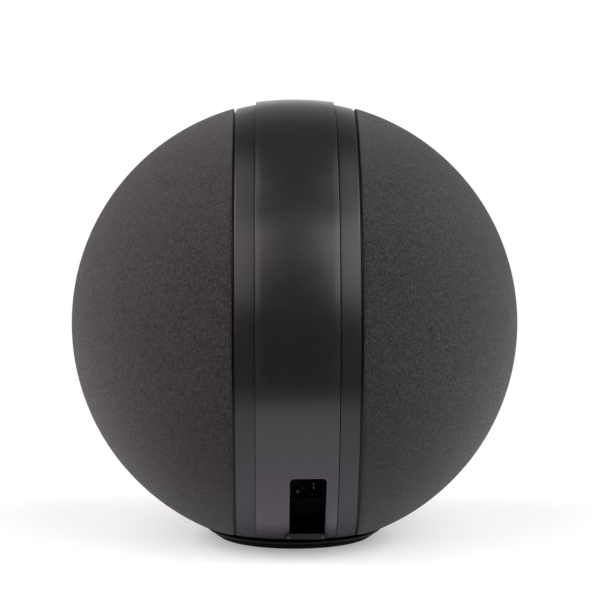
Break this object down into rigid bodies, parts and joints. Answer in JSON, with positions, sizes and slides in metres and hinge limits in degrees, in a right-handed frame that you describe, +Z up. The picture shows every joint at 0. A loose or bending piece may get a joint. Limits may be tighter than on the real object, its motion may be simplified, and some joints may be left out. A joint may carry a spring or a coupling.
{
  "type": "smart speaker",
  "caption": "Ball-shaped smart speaker: dark knit domes either side of a satin centre strap, power recess at the lower rear, low round foot.",
  "frame": {"origin": "centre of the foot's underside, on the floor", "axes": "+Z up; front towards -Y, rear recess towards +Y; the driver axis and the hoops' axis lie along X"},
  "size_m": [0.1996, 0.2002, 0.1963],
  "materials": {
    "knit": "fine charcoal knit",
    "band_plastic": "satin charcoal",
    "rail_plastic": "satin charcoal",
    "structural_plastic": "fine moulded texture",
    "recess_plastic": "smooth black",
    "collar_plastic": "satin grey",
    "rubber": "matt",
    "steel": "zinc plated",
    "ferrite": "ground ferrite",
    "aluminium": "plain extruded",
    "copper": "enamelled winding",
    "cone_paper": "coated black paper",
    "spider_cloth": "resin-dipped cloth",
    "circuit_board": "solder mask"
  },
  "bodies": {
    "speaker": {"left_knit_cover": "knit", "left_grille": "structural_plastic", "left_baffle": "structural_plastic", "left_basket": "structural_plastic", "left_magnet": "ferrite", "left_pole_yoke": "steel", "left_sill_pin": "steel", "left_driver_screw_1": "steel", "left_driver_screw_2": "steel", "left_driver_screw_3": "steel", "left_driver_screw_4": "steel", "left_surround": "rubber", "left_spider": "spider_cloth", "left_rail": "rail_plastic", "right_knit_cover": "knit", "right_grille": "structural_plastic", "right_baffle": "structural_plastic", "right_basket": "structural_plastic", "right_magnet": "ferrite", "right_pole_yoke": "steel", "right_sill_pin": "steel", "right_driver_screw_1": "steel", "right_driver_screw_2": "steel", "right_driver_screw_3": "steel", "right_driver_screw_4": "steel", "right_surround": "rubber", "right_spider": "spider_cloth", "right_rail": "rail_plastic", "centre_frame": "structural_plastic", "base_plate": "structural_plastic", "strap": "band_plastic", "recess_pocket": "recess_plastic", "socket_panel": "recess_plastic", "power_socket": "recess_plastic", "recess_sill": "collar_plastic", "foot_collar": "collar_plastic", "socket_pin": "steel", "ballast": "steel", "base_screw_1": "steel", "base_screw_2": "steel", "base_screw_3": "steel", "base_screw_4": "steel", "foot_pad": "rubber", "main_board": "circuit_board", "power_board": "circuit_board", "microphone_board": "circuit_board", "heat_sink": "aluminium"},
    "left_cone_assembly": {"left_cone": "cone_paper", "left_dust_cap": "cone_paper", "left_voice_coil": "copper"},
    "right_cone_assembly": {"right_cone": "cone_paper", "right_dust_cap": "cone_paper", "right_voice_coil": "copper"},
    "button": {"reset_button": "collar_plastic"}
  },
  "joints": [
    {"name": "right_cone_travel", "type": "slide", "parent": "speaker", "child": "right_cone_assembly", "axis": [1, 0, 0], "range_m": [-0.0025, 0.0025], "stiffness_N_per_m": 1500, "deforming": ["right_surround", "right_spider"]},
    {"name": "left_cone_travel", "type": "slide", "parent": "speaker", "child": "left_cone_assembly", "axis": [-1, 0, 0], "range_m": [-0.0025, 0.0025], "stiffness_N_per_m": 1500, "deforming": ["left_surround", "left_spider"]},
    {"name": "reset_button_press", "type": "slide", "parent": "speaker", "child": "button", "axis": [0, -1, 0], "range_m": [0, 0.0008], "stiffness_N_per_m": 600}
  ]
}
